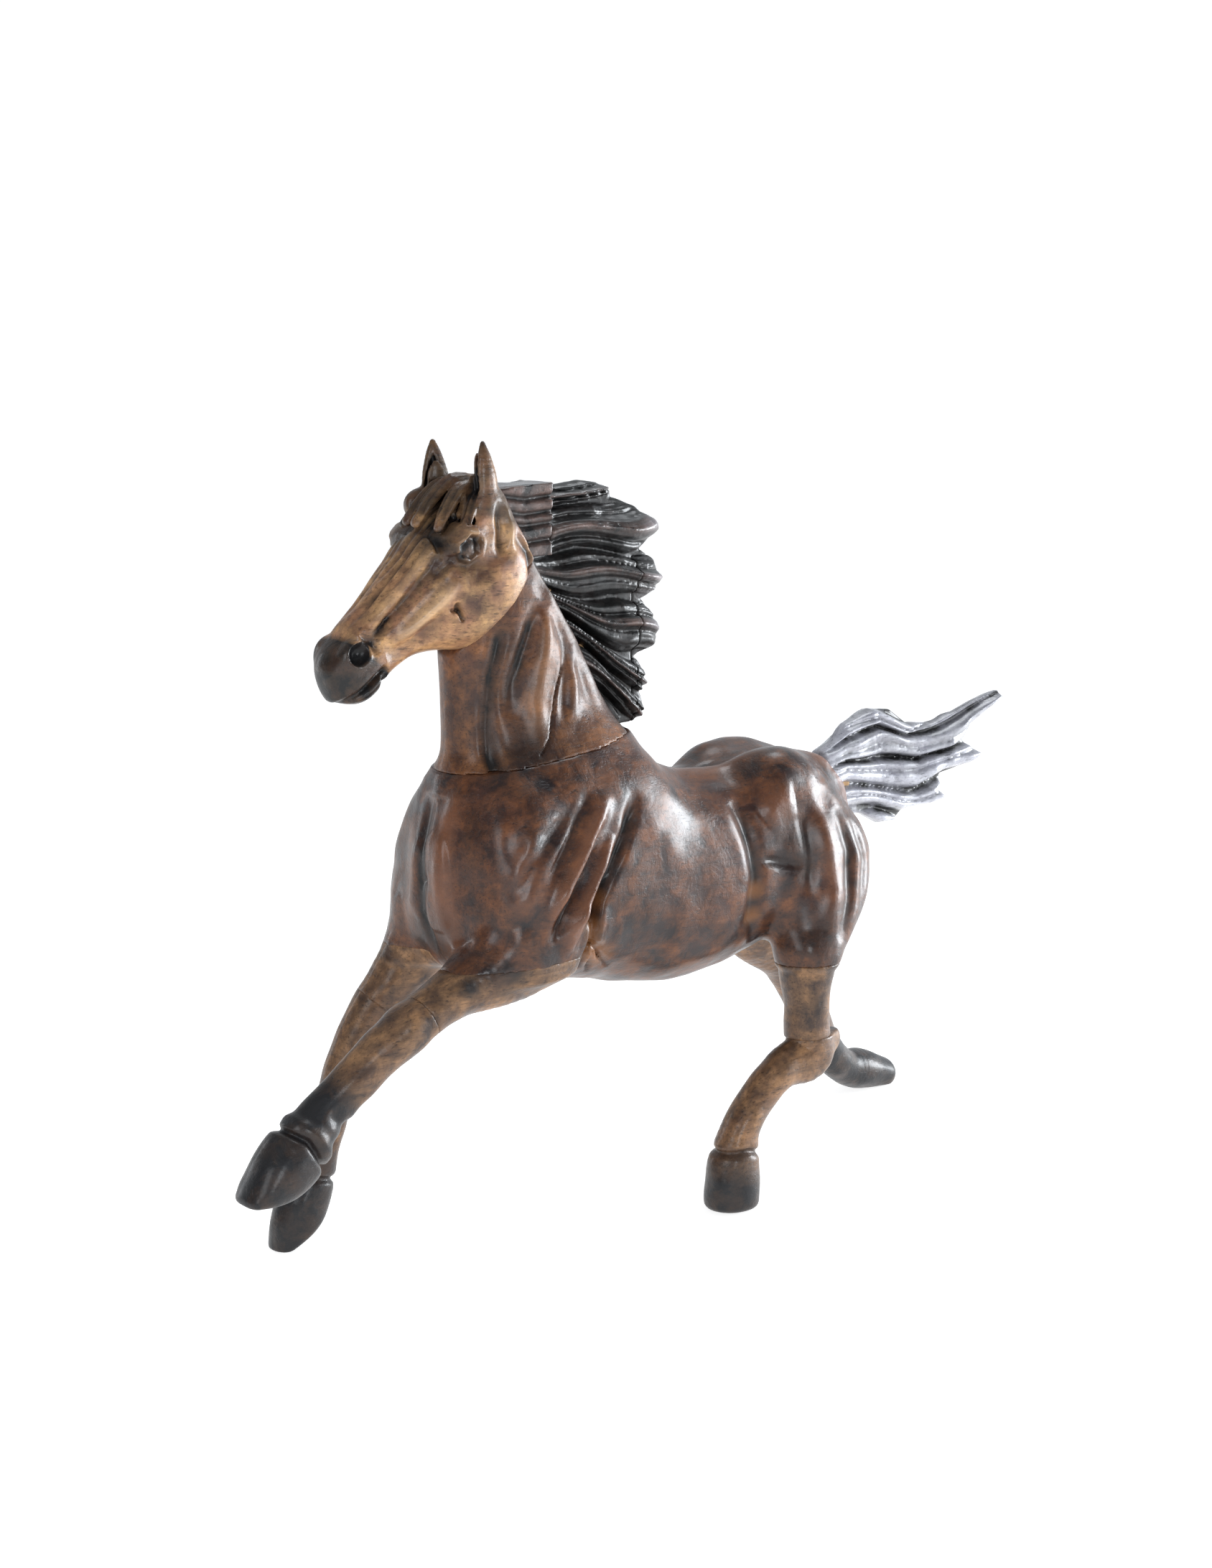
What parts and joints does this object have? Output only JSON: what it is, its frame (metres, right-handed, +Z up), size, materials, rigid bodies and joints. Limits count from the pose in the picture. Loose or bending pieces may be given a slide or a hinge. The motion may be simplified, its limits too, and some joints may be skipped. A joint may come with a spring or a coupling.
{
  "type": "carved wooden horse figurine",
  "caption": "Hand-carved galloping horse in dark varnished wood, with a separate carved mane and tail, standing on three hooves with one foreleg raised.",
  "frame": {"origin": "on the table, under the middle of the horse's overall length and width", "axes": "+X forward towards the head, +Y to the horse's left, +Z up"},
  "size_m": [0.2896, 0.0765, 0.2205],
  "materials": {
    "body_wood": "satin varnish over reddish brown wood",
    "neck_wood": "satin varnish over reddish brown wood",
    "head_wood": "satin varnish, golden brown face and near black muzzle",
    "mane_wood": "gloss, nearly black stain",
    "tail_wood": "gloss, nearly black stain",
    "leg_wood": "satin varnish over brown wood, dark stained hooves",
    "dowel_wood": "bare beech"
  },
  "bodies": {
    "root": {"torso": "body_wood", "neck": "neck_wood", "head": "head_wood", "mane_poll_block": "mane_wood", "mane_board": "mane_wood", "mane_tip_upper": "mane_wood", "mane_tip_middle": "mane_wood", "mane_tip_lower": "mane_wood", "tail": "tail_wood", "left_forearm": "leg_wood", "right_forearm": "leg_wood", "left_fore_shank": "leg_wood", "right_fore_shank": "leg_wood", "left_gaskin": "leg_wood", "right_gaskin": "leg_wood", "left_hind_shank": "leg_wood", "right_hind_shank": "leg_wood", "neck_dowel_front": "dowel_wood", "neck_dowel_rear": "dowel_wood", "head_dowel": "dowel_wood", "mane_pin_upper": "dowel_wood", "mane_pin_lower": "dowel_wood", "poll_pin": "dowel_wood", "tail_dowel": "dowel_wood", "left_foreleg_dowel": "dowel_wood", "right_foreleg_dowel": "dowel_wood", "left_hind_dowel": "dowel_wood", "right_hind_dowel": "dowel_wood", "left_knee_dowel": "dowel_wood", "right_knee_dowel": "dowel_wood", "left_hock_dowel": "dowel_wood", "right_hock_dowel": "dowel_wood"}
  },
  "joints": []
}
